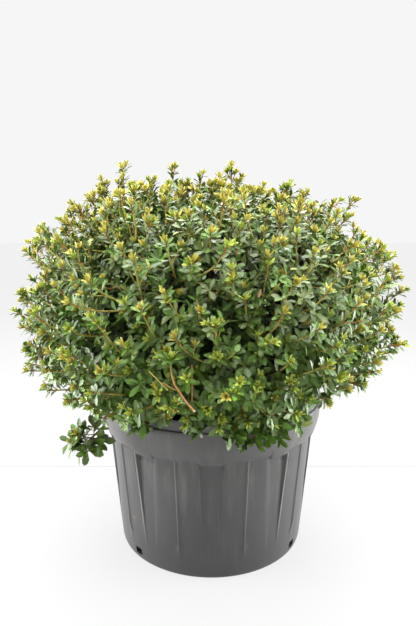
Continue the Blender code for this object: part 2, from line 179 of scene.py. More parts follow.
def pointOn(line, share):
    # a point of the line and the way the line runs there
    place = max(0.0, min(0.9999, share)) * (len(line) - 1)
    knot = int(place)
    run = line[knot + 1] - line[knot]
    return line[knot] + run * (place - knot), run.normalized()


# surfaces
def newSurface(name, roughness, specular=0.5):
    surface = bpy.data.materials.new(name)
    surface.use_nodes = True
    tree = surface.node_tree
    shader = tree.nodes["Principled BSDF"]
    shader.inputs["Roughness"].default_value = roughness
    shader.inputs["Specular IOR Level"].default_value = specular
    return surface, tree, shader


def step(tree, kind, inputs=(), **settings):
    # one shading step; each input is a number, a colour or what another step gives
    made = tree.nodes.new("ShaderNode" + kind)
    for label, value in settings.items():
        setattr(made, label, value)
    for label, value in dict(inputs).items():
        if isinstance(value, bpy.types.NodeSocket):
            tree.links.new(value, made.inputs[label])
        else:
            made.inputs[label].default_value = value
    return made


def placeOn(tree, stretch=(1, 1, 1)):
    spot = step(tree, "TexCoord").outputs["Object"]
    return step(tree, "Mapping", {"Vector": spot, "Scale": stretch}).outputs["Vector"]


def grain(tree, where, scale, detail=4.0, rough=0.55):
    inputs = {"Vector": where, "Scale": scale, "Detail": detail, "Roughness": rough}
    return step(tree, "TexNoise", inputs).outputs["Fac"]


def ramp(tree, value, stops):
    bands = tree.nodes.new("ShaderNodeValToRGB")
    while len(bands.color_ramp.elements) < len(stops):
        bands.color_ramp.elements.new(0.5)
    for element, (place, colour) in zip(bands.color_ramp.elements, stops):
        element.position = place
        element.color = (*colour, 1)
    tree.links.new(value, bands.inputs["Fac"])
    return bands.outputs["Color"]


def relief(tree, shader, height, strength, distance):
    bump = step(tree, "Bump", {"Height": height, "Strength": strength, "Distance": distance})
    tree.links.new(bump.outputs["Normal"], shader.inputs["Normal"])


def blend(tree, share, *pair):
    # each of the pair is a plain colour or what another step gives
    first, second = [(*value, 1) if isinstance(value, tuple) else value for value in pair]
    return step(tree, "Mix", {0: share, 6: first, 7: second}, data_type="RGBA").outputs[2]


def spread(tree, value, low, high, toLow=0.0, toHigh=1.0):
    # stretches the range from low to high over the range from toLow to toHigh
    inputs = {"Value": value, "From Min": low, "From Max": high, "To Min": toLow, "To Max": toHigh}
    return step(tree, "MapRange", inputs).outputs["Result"]


def worked(tree, kind, first, second=0.0):
    # one step of arithmetic on a value and a number or another value
    return step(tree, "Math", {0: first, 1: second}, operation=kind).outputs[0]


def glowingWhite(name, glow, base):
    # partly its own light, so that shadows on it stay faint
    surface, tree, shader = newSurface(name, 0.8, 0.1)
    tone = ramp(tree, grain(tree, placeOn(tree), 1.4), [(0.3, (base * 0.97,) * 3), (0.7, (base,) * 3)])
    tree.links.new(tone, shader.inputs["Base Color"])
    shader.inputs["Emission Color"].default_value = (1, 1, 1, 1)
    shader.inputs["Emission Strength"].default_value = glow
    return surface


# the tub
tub = {
    "height": 0.382,
    "foot": 0.2215,
    "heel": 0.2250,
    "heelBulge": 0.0046,
    "waist": 0.2500,
    "collar": 0.2677,
    "lip": 0.2640,
    "flutes": 10,
    "fluteDepth": 0.0088,
    "fluteLow": 0.050,
    "fluteHigh": 0.283,
    "fluteHalfTop": 6.0,        # degrees
    "fluteHalfLow": 3.4,
    "fluteEdge": 0.42,
    "collarStep": 0.0055,       # how much lower the collar's edge sits over a flute
    "ridgeRise": 0.0026,
    "ridgeHalf": 0.55,
    "wallStart": 0.010,
    "wallRows": 22,
    # (height, how far outside the foot), then (height, how far inside the heel)
    "footRows": ((0.0, -0.0040), (0.0008, 0.0004)),
    "heelRows": ((0.0025, 0.0012), (0.0050, 0.0002)),
    # (height over the wall, radius over the waist, flute) where the wall turns out under the collar
    "turnRows": ((0.0010, 0.0003, 0.8), (0.0030, 0.0018, 0.0)),
    # (height, how far inside the collar, drop), up to the groove
    "collarRows": ((0.2900, 0.0128, 0.8), (0.2950, 0.0098, 0.5), (0.3020, 0.0070, 0.2), (0.3100, 0.0044, 0),
                   (0.3180, 0.0026, 0), (0.3270, 0.0012, 0), (0.3380, 0.0004, 0), (0.3500, 0.0, 0),
                   (0.3555, 0.0002, 0), (0.3569, 0.0010, 0)),
    # (height, how far inside the lip), from the groove up
    "lipRows": ((0.3577, 0.0012), (0.3593, 0.0014), (0.3605, 0.0002), (0.3680, 0.0), (0.3765, 0.0001),
                (0.3800, 0.0004), (0.3815, 0.0012), (0.3820, 0.0020)),
    # (height, radius), down the inside to the middle of the floor
    "insideRows": ((0.3815, 0.2608), (0.3800, 0.2605), (0.3620, 0.2605), (0.3250, 0.2600), (0.3000, 0.2450),
                   (0.1800, 0.2300), (0.0200, 0.2185), (0.0045, 0.2100), (0.0045, 0.0)),
    "drainAngles": (-84, -48, 57, 93, 150, -150),
    "drainSize": (0.023, 0.030, 0.017),
    "drainRound": 0.0045,
    "drainHeight": 0.021,
}
plastic = {
    "roughness": 0.36,
    "roughSpread": (0.27, 0.40),
    "specular": 0.55,
    "clean": (0.045, 0.044, 0.044),
    "cloudy": (0.070, 0.069, 0.068),
    "dust": (0.175, 0.172, 0.168),
    "dustShare": 0.42,
    "footDark": (0.028, 0.028, 0.031),
    "footDarkShare": 0.85,          # at the foot
    "footDarkTop": 0.24,
    "highlightPale": (0.210, 0.207, 0.200),
    "paleCollarShare": 0.15,          # of the pale colour, on the collar, which it makes a little paler
    # painted highlights: pale lines along the ridges and the flutes' outer edges
    "ridgeHighlightShare": 0.26,
    "ridgeHighlight": (0.9, 0.3),    # degrees from a ridge's middle where its painted highlight line starts, and is full
    "edgeHighlightShare": 0.85,
    "edgeHighlightPlace": 0.85,          # degrees outside a flute
    "edgeHighlight": (0.60, 0.25),
    "highlightFade": 0.09,           # the painted highlight lines fade out over this height at the flutes' foot
    "rust": (0.190, 0.100, 0.050),
    "scuff": (-0.180, -0.153, 0.105),
    "scuffSize": (0.013, 0.002),
}


def paintedHighlightsAndPaleCollar(tree, x, y, z):
    # painted highlights: pale lines along the ridges and the flutes' outer edges; and the collar made a
    # little paler
    pitch = 360 / tub["flutes"]
    low, high = tub["fluteLow"], tub["fluteHigh"]
    turn = worked(tree, "ARCTAN2", x, worked(tree, "MULTIPLY", y, -1.0))
    pitches = worked(tree, "MULTIPLY", turn, tub["flutes"] / math.tau)
    centre = worked(tree, "ROUND", pitches)
    aside = worked(tree, "SUBTRACT", pitches, centre)
    away = worked(tree, "ABSOLUTE", aside)
    start, full = (0.5 - degrees / pitch for degrees in plastic["ridgeHighlight"])
    # painted highlight along the middle of each ridge
    ridge = spread(tree, away, start, full, 0.0, plastic["ridgeHighlightShare"])
    half = spread(tree, z, low, high, tub["fluteHalfLow"] / pitch, tub["fluteHalfTop"] / pitch)
    beyond = worked(tree, "SUBTRACT", worked(tree, "SUBTRACT", away, half), plastic["edgeHighlightPlace"] / pitch)
    start, full = (degrees / pitch for degrees in plastic["edgeHighlight"])
    # painted highlight just outside each flute's edge
    line = spread(tree, worked(tree, "ABSOLUTE", beyond), start, full, 0.0, plastic["edgeHighlightShare"])
    # the painted highlight lies only on the side of a flute that faces away from the front
    outward = spread(tree, worked(tree, "MULTIPLY", aside, centre), 0.01, 0.06)
    edge = worked(tree, "MULTIPLY", line, outward)
    onWall = spread(tree, z, high + 0.004, high)
    above = spread(tree, z, low, low + plastic["highlightFade"])
    lines = worked(tree, "MULTIPLY", worked(tree, "MAXIMUM", ridge, edge), onWall)
    paleCollar = spread(tree, z, high, high + 0.03, 0.0, plastic["paleCollarShare"])
    return worked(tree, "MAXIMUM", worked(tree, "MULTIPLY", lines, above), paleCollar)


def tubPlastic():
    surface, tree, shader = newSurface("tubPlastic", plastic["roughness"], plastic["specular"])
    where = placeOn(tree)
    cloud = grain(tree, where, 7.0, 6.0, 0.6)
    base = ramp(tree, cloud, [(0.25, plastic["clean"]), (0.75, plastic["cloudy"])])
    # dust in upright streaks, then darker towards the foot, where the streaks fade
    upright = placeOn(tree, (9.0, 9.0, 1.2))
    streak = spread(tree, grain(tree, upright, 5.0, 5.0), 0.52, 0.80, 0.0, plastic["dustShare"])
    dusty = blend(tree, streak, base, plastic["dust"])
    x, y, z = step(tree, "SeparateXYZ", {0: where}).outputs
    low = spread(tree, z, 0.0, plastic["footDarkTop"], plastic["footDarkShare"], 0.0)
    footDarkened = blend(tree, low, dusty, plastic["footDark"])
    # painted highlight lines on the ridges and flute edges, and the paler collar
    paler = blend(tree, paintedHighlightsAndPaleCollar(tree, x, y, z), footDarkened, plastic["highlightPale"])
    # one rusty scuff on the left of the wall
    away = step(tree, "VectorMath", {0: where, 1: plastic["scuff"]}, operation="DISTANCE")
    near = spread(tree, away.outputs["Value"], *plastic["scuffSize"])
    patchy = spread(tree, grain(tree, where, 160.0, 4.0), 0.50, 0.62)
    scuffed = blend(tree, worked(tree, "MULTIPLY", near, patchy), paler, plastic["rust"])
    tree.links.new(scuffed, shader.inputs["Base Color"])
    relief(tree, shader, grain(tree, where, 420.0, 3.0), 0.28, 0.0006)
    tree.links.new(spread(tree, cloud, 0.0, 1.0, *plastic["roughSpread"]), shader.inputs["Roughness"])
    return surface


def tubProfile():
    # (height, radius, flute, drop): how much of the flute and of the collar's step each row takes
    low, high, waist = tub["fluteLow"], tub["fluteHigh"], tub["waist"]
    rows = [(0.0, 0.0, 0, 0)]
    rows += [(height, tub["foot"] + outside, 0, 0) for height, outside in tub["footRows"]]
    rows += [(height, tub["heel"] - inside, 0, 0) for height, inside in tub["heelRows"]]
    for i in range(tub["wallRows"] + 1):
        height = tub["wallStart"] + (high - tub["wallStart"]) * i / tub["wallRows"]
        share = max(0.0, (height - low) / (high - low))
        widening = (waist - tub["heel"] - tub["heelBulge"]) * share
        radius = tub["heel"] + tub["heelBulge"] * min(1.0, height / low) + widening
        rows.append((height, radius, share, smoothStep(0.80, 1.0, share)))
    rows += [(high + rise, waist + outside, flute, 1) for rise, outside, flute in tub["turnRows"]]
    rows += [(height, tub["collar"] - inside, 0, drop) for height, inside, drop in tub["collarRows"]]
    rows += [(height, tub["lip"] - inside, 0, 0) for height, inside in tub["lipRows"]]
    rows += [(height, radius, 0, 0) for height, radius in tub["insideRows"]]
    return rows


def tubColumns(half):
    # (degrees, sunk, raised) round the wall, closest together at the flutes' edges and the ridges
    edge, ridge, pitch = tub["fluteEdge"], tub["ridgeHalf"], 360 / tub["flutes"]
    side = [((half - edge) * 0.5, 1, 0), (half - edge, 1, 0), (half - edge * 0.45, 0.90, 0),
            (half + edge * 0.45, 0.10, 0), (half + edge, 0, 0)]
    panel = pitch / 2 - ridge - half - edge
    side += [(half + edge + panel * share, 0, 0) for share in (0.2, 0.4, 0.6, 0.8)]
    side += [(pitch / 2 - ridge, 0, 0), (pitch / 2 - ridge * 0.45, 0, 0.7)]
    mirrored = [(-away, sunk, raised) for away, sunk, raised in reversed(side)]
    one = [(-pitch / 2, 0, 1), *mirrored, (0, 1, 0), *side]
    return [(flute * pitch + away, sunk, raised)
            for flute in range(tub["flutes"]) for away, sunk, raised in one]


def wallRing(row):
    # one ring of the wall, as points in the order of its columns
    height, radius, flute, drop = row
    share = max(0.0, min(1.0, (height - tub["fluteLow"]) / (tub["fluteHigh"] - tub["fluteLow"])))
    half = tub["fluteHalfLow"] + (tub["fluteHalfTop"] - tub["fluteHalfLow"]) * share
    rise = tub["ridgeRise"] * smoothStep(0, 0.15, flute)
    ring = []
    for away, sunk, raised in tubColumns(half):
        reach = radius + rise * raised - tub["fluteDepth"] * flute * sunk
        angle = math.radians(away)
        lowered = height - tub["collarStep"] * drop * sunk
        ring.append(Vector((reach * math.sin(angle), -reach * math.cos(angle), lowered)))
    return ring


def drainCutter():
    bm = bmesh.new()
    for angle in tub["drainAngles"]:
        turn = math.radians(angle)
        made = bmesh.ops.create_cube(bm, size=1.0)["verts"]
        bmesh.ops.scale(bm, vec=tub["drainSize"], verts=made)
        # the four edges that run through the wall are rounded
        edges = [edge for edge in {edge for vert in made for edge in vert.link_edges}
                 if abs(edge.verts[0].co.y - edge.verts[1].co.y) > 0.01]
        rounded = bmesh.ops.bevel(bm, geom=edges, offset=tub["drainRound"], segments=4, profile=0.5,
                                  affect="EDGES", material=-1)
        shaped = list({vert for vert in [*made, *rounded["verts"]] if vert.is_valid})
        bmesh.ops.rotate(bm, verts=shaped, cent=(0, 0, 0), matrix=Matrix.Rotation(turn, 3, "Z"))
        place = Vector((tub["heel"] * math.sin(turn), -tub["heel"] * math.cos(turn), tub["drainHeight"]))
        bmesh.ops.translate(bm, verts=shaped, vec=place)
    bmesh.ops.recalc_face_normals(bm, faces=bm.faces)
    return toMesh(bm, "drainCutter")


def makeTub():
    rings = [wallRing(row) for row in tubProfile()]
    count = len(rings[0])
    bm = bmesh.new()
    bmesh.ops.create_grid(bm, x_segments=count, y_segments=len(rings) - 1, size=0.5)
    for vert in bm.verts:
        column, row = round((vert.co.x + 0.5) * count), round((vert.co.y + 0.5) * (len(rings) - 1))
        vert.co = rings[row][column % count]
    bmesh.ops.remove_doubles(bm, verts=bm.verts, dist=1e-6)
    bmesh.ops.recalc_face_normals(bm, faces=bm.faces)
    piece = newPiece("flutedTub", toMesh(bm, "flutedTub"), tubPlastic())
    cutter = newPiece("drainCutter", drainCutter(), piece.data.materials[0])
    hole = piece.modifiers.new("drains", "BOOLEAN")
    hole.operation = "DIFFERENCE"
    hole.object = cutter
    hole.solver = "MANIFOLD"
    bpy.context.view_layer.update()
    mesh = finishedMesh(piece)
    piece.modifiers.clear()
    piece.data = mesh
    bpy.data.objects.remove(cutter)
    mesh.shade_smooth()
    mesh.set_sharp_from_angle(angle=math.radians(40))
    handOver(piece, "tub_plastic", "tub")
    print("tub:", len(mesh.polygons), "faces")


# the soil
soil = {
    "crown": 0.340,
    "level": 0.334,
    "edge": 0.2550,
    # (radius, height) from the middle of the tub's floor up the wall
    "side": ((0.0, 0.0040), (0.2080, 0.0040), (0.2290, 0.200), (0.2440, 0.300), (0.2550, 0.326)),
    "steps": 120,
    "rings": 26,
    "lump": 0.0030,
    "lumpScales": (45, 130),
    "crumbs": 650,
    "crumbSize": (0.0018, 0.0046),
    "crumbRise": 0.0025,
    "peat": ((0.3, (0.010, 0.007, 0.005)), (0.6, (0.040, 0.027, 0.018)), (0.8, (0.085, 0.058, 0.036))),
}


def darkPeat():
    surface, tree, shader = newSurface("darkPeat", 0.95, 0.2)
    where = placeOn(tree)
    tone = ramp(tree, grain(tree, where, 90.0, 8.0, 0.7), soil["peat"])
    tree.links.new(tone, shader.inputs["Base Color"])
    relief(tree, shader, grain(tree, where, 260.0, 8.0, 0.7), 0.8, 0.003)
    return surface


def copyMany(name, shape, turns):
    rest = np.array([(*vert.co, 1.0) for vert in shape.vertices])
    faces = np.array([poly.vertices[:] for poly in shape.polygons])
    matrices = np.array([[row[:] for row in turn] for turn in turns])
    placed = np.einsum("nij,vj->nvi", matrices, rest)[:, :, :3]
    shifted = faces[None] + (np.arange(len(turns)) * len(rest))[:, None, None]
    mesh = bpy.data.meshes.new(name)
    mesh.from_pydata(placed.reshape(-1, 3), [], shifted.reshape(-1, faces.shape[1]).tolist())
    bpy.data.meshes.remove(shape)
    return mesh


def makeSoil():
    bm = bmesh.new()
    points = list(soil["side"])
    for i in range(soil["rings"] + 1):
        radius = soil["edge"] * (1 - i / soil["rings"])
        fall = (soil["crown"] - soil["level"]) * smoothStep(0.05, soil["edge"], radius)
        points.append((radius, soil["crown"] - fall))
    line = [bm.verts.new((radius, 0, height)) for radius, height in points]
    edges = [bm.edges.new(pair) for pair in zip(line, line[1:])]
    bmesh.ops.spin(bm, geom=[*line, *edges], cent=(0, 0, 0), axis=(0, 0, 1), angle=math.tau,
                   steps=soil["steps"], use_merge=True)
    bmesh.ops.remove_doubles(bm, verts=bm.verts, dist=1e-5)
    bmesh.ops.recalc_face_normals(bm, faces=bm.faces)
    coarse, fine = soil["lumpScales"]
    for vert in bm.verts:
        if vert.co.z > 0.330:
            lumps = noise.noise(vert.co * coarse) + 0.6 * noise.noise(vert.co * fine) - 0.25
            vert.co.z += soil["lump"] * lumps
    piece = newPiece("pottingSoil", toMesh(bm, "pottingSoil"), darkPeat())
    piece.data.shade_smooth()
    handOver(piece, "potting_soil", "root_ball")

    rng = random.Random("crumbs")
    ball = bmesh.new()
    bmesh.ops.create_icosphere(ball, subdivisions=1, radius=1.0)
    for vert in ball.verts:
        vert.co *= 1 + 0.35 * noise.noise(vert.co * 2.3)
    turns = []
    height = soil["level"] + soil["crumbRise"]
    for _ in range(soil["crumbs"]):
        radius = soil["edge"] * math.sqrt(rng.random()) * 0.985
        angle = rng.uniform(0, math.tau)
        size = rng.uniform(*soil["crumbSize"])
        place = Matrix.Translation((radius * math.sin(angle), radius * math.cos(angle), height))
        roll = rng.uniform(0, math.tau)
        spin = Matrix.Rotation(roll, 4, Vector((rng.random(), rng.random(), 0.3)).normalized())
        turns.append(place @ spin @ Matrix.Diagonal((size, size * rng.uniform(0.5, 0.9), size * 0.7, 1)))
    shape = copyMany("soilCrumbs", toMesh(ball, "crumb"), turns)
    handOver(newPiece("soilCrumbs", shape, piece.data.materials[0]), "potting_soil")
    print("soil:", len(turns), "crumbs")


# how the crown is laid out: a dome seen from one point inside, shared between masses
crown = {
    "eye": Vector((0.0, 0.0, 0.520)),
    # (degrees above level, distance from the eye) of the tips
    "outline": ((-90, 0.12), (-34, 0.264), (-27, 0.324), (-20, 0.372), (-13, 0.408), (-3, 0.437),
                (10, 0.454), (20, 0.461), (29, 0.459), (38, 0.441), (50, 0.414), (68, 0.382), (90, 0.366)),
    "swell": 0.035,
    "boughReach": 0.35,
    "stemReach": 0.60,
    "upperMasses": 4,
    "lowerMasses": 6,
    "upperTurn": 60,
    "upperElevation": 43,
    "lowerElevation": 0,
    "twigDirections": 178,      # spread over a whole sphere, of which the crown takes its part
    "twigEnd": 0.72,            # where a branch ends, as a share of the outline
    "twiglets": 15,             # short leafy twigs on each branch, which fill the inside
    "aimSway": 0.022,
    "mounds": ((6.5, 0.045), (3.0, 0.030)),  # (scale, rise) of the clumps
    "leftRoom": 0.455,          # no shoot's tip lies further out than these, or higher than the last
    "sideRoom": 0.448,
    "tallest": 0.893,
    # (degrees up from the right, share of the reach): how the flanks differ from the dome
    "flanks": ((-60, 0.96), (-30, 0.90), (-22, 0.86), (-14, 0.92), (-6, 0.96), (2, 0.99), (10, 1.02),
               (20, 0.98), (27, 0.99), (33, 0.89), (42, 0.96), (50, 0.91), (58, 0.94), (66, 0.90),
               (74, 0.94), (82, 0.97), (90, 0.94), (98, 0.91), (106, 0.96), (114, 0.98), (122, 1.04),
               (130, 0.99), (138, 1.01), (146, 0.98), (154, 1.02), (162, 0.97), (170, 1.00), (178, 0.97),
               (186, 1.02), (194, 1.07), (202, 0.92), (210, 1.08), (240, 1.00)),
}
# single things that stand out: the highest peaks, what hangs over the tub's lip, bare and cut stems
lone = {
    "peaks": ((-0.200, -0.05, 0.893), (0.044, -0.05, 0.890), (0.316, -0.05, 0.822), (-0.134, -0.05, 0.858),
              (-0.091, 0.00, 0.890), (-0.028, 0.00, 0.876), (0.120, 0.00, 0.856), (0.176, 0.00, 0.853),
              (0.212, 0.00, 0.834), (0.286, 0.00, 0.818), (0.388, 0.00, 0.722), (0.418, 0.00, 0.696),
              (-0.252, 0.00, 0.856), (-0.330, 0.00, 0.796), (-0.396, 0.00, 0.752), (-0.416, 0.00, 0.724),
              (-0.450, 0.00, 0.588), (-0.446, 0.02, 0.516), (-0.442, -0.02, 0.470), (-0.430, -0.06, 0.430)),
    "bareStems": (((-0.109, -0.412, 0.533), (-0.077, -0.412, 0.499), "olive"),
                  ((-0.036, -0.386, 0.538), (-0.036, -0.392, 0.470), "rust")),
    "cutBranch": (Vector((-0.0710, -0.424, 0.5560)), Vector((-0.0700, -0.430, 0.5390)),
                  Vector((-0.0650, -0.432, 0.5170)), Vector((-0.0570, -0.432, 0.5040)),
                  Vector((-0.0470, -0.432, 0.4880)), Vector((-0.0380, -0.432, 0.4760)),
                  Vector((-0.0320, -0.432, 0.4690))),
    "cutTwig": (Vector((-0.0840, -0.424, 0.5160)), Vector((-0.0700, -0.431, 0.5090)),
                Vector((-0.0590, -0.432, 0.5050))),
    "cutThick": 0.0019,
    "bud": (0.146, -0.253, 0.368),
    "budSize": 0.0036,
    # (root, way it points) of each
    "redLeaves": (((-0.380, -0.120, 0.452), (-0.7, -0.3, 0.4)),
                  ((0.084, -0.380, 0.672), (-0.3, -0.5, -0.8))),
    "redSize": (0.018, 0.0065, 0.1, 0.3),  # length, width, droop, fold
    "freshShoot": (Vector((0.026, -0.372, 0.458)), Vector((0.030, -0.400, 0.474)),
                   Vector((0.037, -0.419, 0.496))),
    "rimRadius": 0.292,
    "rimCrest": (0.262, 0.415),  # (radius, height) where a shoot turns down over the tub's lip
    # (degrees from the front, height) of the tips that hang over the lip
    "rimTips": ((-31.0, 0.370), (-26.5, 0.372), (-6.0, 0.378), (10.0, 0.362), (13.5, 0.352), (17.5, 0.344),
                (23.0, 0.352), (28.0, 0.350), (35.0, 0.370), (120.0, 0.360), (150.0, 0.352), (200.0, 0.366),
                (250.0, 0.355)),
    "rimGap": (-24.0, -11.0),   # degrees from the front, kept bare above the lip
    "gapReach": 0.33,
    "gapFloor": 0.434,
}
stem = {
    "points": (Vector((0, 0, 0.3403)), Vector((0, 0, 0.351)), Vector((0.002, 0.001, 0.376)),
               Vector((0.004, 0.002, 0.412))),
    "radii": (0.034, 0.027, 0.0235, 0.022),
    "boughThick": 0.0075,
    "boughThin": 0.0048,
    "boughLevels": {"top": 0.408, "shoulder": 0.392, "skirt": 0.366},
    "boughBow": 0.030,          # how far a bough bows outwards
    "coreThin": 0.0036,
    "bark": ((0.045, 0.030, 0.020), (0.105, 0.072, 0.048), (0.190, 0.140, 0.098)),
}
lowBough = {
    "root": Vector((-0.004, 0.002, 0.3505)),
    "high": Vector((-0.116, -0.098, 0.401)),
    "knee": Vector((-0.212, -0.194, 0.404)),
    "foot": Vector((-0.228, -0.204, 0.359)),
    "bend": Vector((-0.247, -0.209, 0.334)),
    "tip": Vector((-0.272, -0.213, 0.312)),
    "thick": 0.0056,
    "thin": 0.0036,
    "dropThin": 0.0031,
    "sprayThick": (0.0030, 0.0022),
    "sprayTwigs": 15,
    "sprayLengths": (0.020, 0.038),
    "spraySize": 1.40,
}


def direction(azimuth, elevation):
    azimuth, elevation = math.radians(azimuth), math.radians(elevation)
    return Vector((math.cos(elevation) * math.sin(azimuth), -math.cos(elevation) * math.cos(azimuth),
                   math.sin(elevation)))


def massDirections():
    found = {"top": direction(0, 90)}
    for i in range(crown["upperMasses"]):
        turn = crown["upperTurn"] + 360 * i / crown["upperMasses"]
        found[f"shoulder_{i + 1}"] = direction(turn, crown["upperElevation"])
    for i in range(crown["lowerMasses"]):
        found[f"skirt_{i + 1}"] = direction(360 * i / crown["lowerMasses"], crown["lowerElevation"])
    return found


def nearestMass(ray, directions):
    return max(directions, key=lambda name: ray.dot(directions[name]))


def elevationOf(toward):
    return math.degrees(math.asin(max(-1.0, min(1.0, toward.z))))


def outlineDistance(toward):
    wander = noise.noise(toward * 2.6 + Vector((4.0, 1.0, 7.0)))
    return blendTable(crown["outline"], elevationOf(toward)) * (1 + crown["swell"] * wander)


def reachOf(toward):
    # how far the shoots reach, with the flanks' own rises and dips
    turn = (math.degrees(math.atan2(toward.z, toward.x)) + 60) % 360 - 60
    flank = blendTable(crown["flanks"], turn) - 1
    return outlineDistance(toward) * (1 + flank * (toward.x ** 2 + toward.z ** 2))


def clearOfTub(point, margin=0.004):
    reach = math.hypot(point.x, point.y)
    turn = math.degrees(math.atan2(point.x, -point.y))
    inGap = lone["rimGap"][0] < turn < lone["rimGap"][1] and reach < lone["gapReach"]
    if inGap and point.z < lone["gapFloor"]:
        return False
    if reach < tub["collar"] + margin:
        return point.z > tub["height"] + margin
    return point.z > 0.330


def clearOfCollar(point, margin=0.003):
    # for the spray that hangs outside the tub
    return math.hypot(point.x, point.y) > tub["collar"] + margin and point.z > 0.150


def evenDirections(count):
    turn = math.pi * (3 - math.sqrt(5))
    for i in range(count):
        height = 1 - 2 * (i + 0.5) / count
        ring = math.sqrt(1 - height * height)
        yield Vector((ring * math.cos(turn * i), ring * math.sin(turn * i), height))


def anySway(rng, amount):
    return Vector((rng.gauss(0, 1), rng.gauss(0, 1), rng.gauss(0, 1))) * amount


def boughLine(own, toward):
    tip = crown["eye"] + toward * outlineDistance(toward) * crown["boughReach"]
    level = stem["boughLevels"][own.split("_")[0]]
    side = Vector((toward.x, toward.y, 0))
    side = side.normalized() if side.length > 1e-3 else Vector((0, 0, 0))
    root = Vector((0.003, 0.0015, level)) + side * 0.006
    bend = root.lerp(tip, 0.5) + side * stem["boughBow"] - Vector((0, 0, 0.008))
    return arcPoints(root, bend, tip, 9)


def lowBoughLine():
    root, high, knee = lowBough["root"], lowBough["high"], lowBough["knee"]
    drop = (lowBough["foot"] - knee).normalized()
    shoulder = knee - drop * 0.008
    lift = Vector((0, 0, 0.004))
    return [root, root.lerp(high, 0.5) - lift, high, shoulder.lerp(high, 0.35) + lift, shoulder, knee]


# wood
def barkSurface(name, dark, middle, pale, scale=160.0):
    surface, tree, shader = newSurface(name, 0.78, 0.3)
    fibres = grain(tree, placeOn(tree, (1.0, 1.0, 0.22)), scale, 6.0, 0.65)
    tone = ramp(tree, fibres, [(0.30, dark), (0.52, middle), (0.75, pale)])
    tree.links.new(tone, shader.inputs["Base Color"])
    relief(tree, shader, fibres, 0.6, 0.0012)
    return surface


def limbMesh(name, limbs, roundness):
    # limbs: (points, radii) each, made as bevelled lines and turned into one mesh
    curve = bpy.data.curves.new(name, "CURVE")
    curve.dimensions = "3D"
    curve.bevel_depth = 1.0
    curve.bevel_resolution = roundness
    curve.use_fill_caps = True
    for points, radii in limbs:
        spline = curve.splines.new("POLY")
        spline.points.add(len(points) - 1)
        for knot, point, radius in zip(spline.points, points, radii):
            knot.co = (*point, 1.0)
            knot.radius = radius
    holder = newObject(name, curve)
    mesh = finishedMesh(holder)
    bpy.data.objects.remove(holder)
    bpy.data.curves.remove(curve)
    mesh.shade_smooth()
    return mesh


def taper(thick, thin, count):
    return [thick + (thin - thick) * i / (count - 1) for i in range(count)]


def fineLine(points, radii, steps):
    # the same limb with more knots, so the bark has room for its relief
    places = [i / (steps - 1) for i in range(steps)]
    rows = [(i / (len(radii) - 1), radius) for i, radius in enumerate(radii)]
    return [pointOn(points, place)[0] for place in places], [blendTable(rows, place) for place in places]


def barkRelief(mesh, depth, scale):
    bm = bmesh.new()
    bm.from_mesh(mesh)
    bmesh.ops.remove_doubles(bm, verts=bm.verts, dist=1e-5)
    bmesh.ops.recalc_face_normals(bm, faces=bm.faces)
    bm.normal_update()
    for vert in bm.verts:
        spot = Vector((vert.co.x * scale, vert.co.y * scale, vert.co.z * scale * 0.3))
        vert.co += vert.normal * depth * (noise.noise(spot) + 0.5 * noise.noise(spot * 2.7) - 0.4)
    bm.to_mesh(mesh)
    bm.free()
    return mesh


def makeLimbs(directions):
    bark = barkSurface("greyBark", *stem["bark"])
    trunk = limbMesh("shortStem", [fineLine(stem["points"], stem["radii"], 30)], 14)
    handOver(newPiece("shortStem", barkRelief(trunk, 0.0016, 190), bark), "bark", "main_stem")
    limbs = []
    for own, toward in directions.items():
        line = boughLine(own, toward)
        limbs.append(fineLine(line, taper(stem["boughThick"], stem["boughThin"], len(line)), 44))
    low = lowBoughLine()
    limbs.append(fineLine(low, taper(lowBough["thick"], lowBough["thin"], len(low)), 60))
    limbs.append(fineLine([lowBough["knee"], lowBough["foot"]], [lowBough["thin"], lowBough["dropThin"]], 12))
    boughs = newPiece("boughs", barkRelief(limbMesh("boughs", limbs, 4), 0.0006, 260), bark)
    handOver(boughs, "bark", *[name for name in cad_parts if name.startswith("bough_")])
    print("limbs:", len(limbs), "boughs on one stem")


